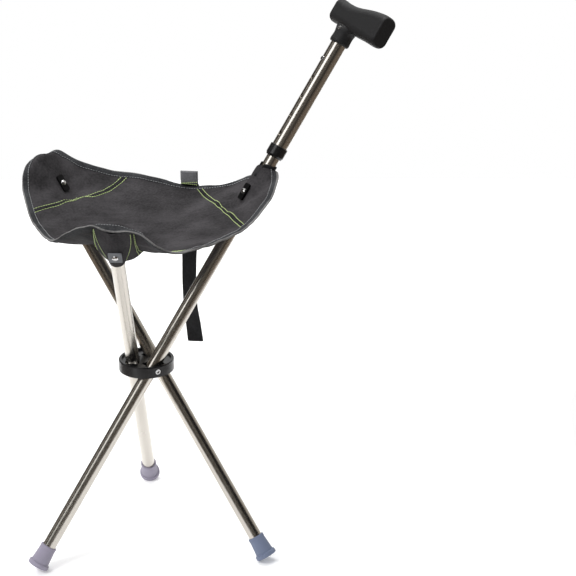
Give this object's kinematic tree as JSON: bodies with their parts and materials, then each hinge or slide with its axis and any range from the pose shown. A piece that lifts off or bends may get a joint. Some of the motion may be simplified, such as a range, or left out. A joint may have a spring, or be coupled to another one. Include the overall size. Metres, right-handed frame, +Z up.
{
  "type": "walking stick seat (tripod cane stool)",
  "caption": "Folding tripod stool that doubles as a walking stick: crossed metal tubes on a round hub, a slung three-cornered canvas seat and a T-handle.",
  "frame": {"origin": "on the floor, under the middle of the open stool's bounding box", "axes": "+Z up, +X the way the stick leans, +Y towards the rear leg's seat corner"},
  "size_m": [0.5406, 0.3602, 0.7574],
  "materials": {
    "black_plastic": "glossy, moulded",
    "bolt_steel": "bright plated",
    "insert_brass": "turned",
    "bush_plastic": "matte",
    "tube_metal": "polished",
    "ferrule_rubber": "satin",
    "washer_steel": "zinc plated",
    "rivet_steel": "bright plated",
    "tab_plastic": "matte",
    "patch_fibre": "matte",
    "seat_canvas": "woven canvas",
    "strap_webbing": "woven webbing",
    "hook_tape": "hook tape",
    "cap_plastic": "matte",
    "collar_plastic": "glossy, moulded",
    "grip_plastic": "matte, moulded",
    "spring_steel": "bright"
  },
  "bodies": {
    "hub": {"hub_block": "black_plastic", "pivot_bolts": "bolt_steel", "pivot_bushes": "bush_plastic", "pivot_inserts": "insert_brass", "seat_cloth": "seat_canvas", "tie_strap": "strap_webbing", "hook_patch": "hook_tape"},
    "cane": {"cane_tube": "tube_metal", "cane_ferrule": "ferrule_rubber", "cane_ferrule_washer": "washer_steel", "cane_seat_rivet": "rivet_steel", "cane_seat_tab": "tab_plastic", "cane_corner_patch": "patch_fibre", "cane_corner_pocket": "seat_canvas"},
    "rear": {"rear_tube": "tube_metal", "rear_ferrule": "ferrule_rubber", "rear_ferrule_washer": "washer_steel", "rear_seat_rivet": "rivet_steel", "rear_seat_tab": "tab_plastic", "rear_corner_patch": "patch_fibre", "rear_corner_pocket": "seat_canvas", "rear_cap": "cap_plastic"},
    "front": {"front_tube": "tube_metal", "front_ferrule": "ferrule_rubber", "front_ferrule_washer": "washer_steel", "front_seat_rivet": "rivet_steel", "front_seat_tab": "tab_plastic", "front_corner_patch": "patch_fibre", "front_corner_pocket": "seat_canvas", "front_cap": "cap_plastic"},
    "upper": {"upper_tube": "tube_metal", "collar": "collar_plastic", "handle_grip": "grip_plastic", "handle_screw": "bolt_steel"},
    "snap": {"snap_clip": "spring_steel"}
  },
  "joints": [
    {"name": "fold", "type": "hinge", "parent": "hub", "child": "cane", "pos_m": [-0.07219, -0.02524, 0.27425], "axis": [0, -1, 0], "range_deg": [0, 35], "deforming": ["seat_cloth"]},
    {"name": "rear_fold", "type": "hinge", "parent": "hub", "child": "rear", "pos_m": [-0.05573, 0.00326, 0.27425], "axis": [0.866, 0.5, 0], "range_deg": [0, 35]},
    {"name": "front_fold", "type": "hinge", "parent": "hub", "child": "front", "pos_m": [-0.08864, 0.00326, 0.27425], "axis": [-0.866, 0.5, 0], "range_deg": [0, 35]},
    {"name": "height", "type": "slide", "parent": "cane", "child": "upper", "axis": [0.5736, 0, 0.8192], "range_m": [0, 0.12], "deforming": ["snap_clip"]},
    {"name": "button_press", "type": "slide", "parent": "cane", "child": "snap", "axis": [0.8192, 0, -0.5736], "range_m": [0, 0.0035], "stiffness_N_per_m": 2000, "springref_m": -0.001}
  ],
  "couplings": [
    {"joint": "rear_fold", "follows": "fold", "ratio": 1},
    {"joint": "front_fold", "follows": "fold", "ratio": 1}
  ]
}
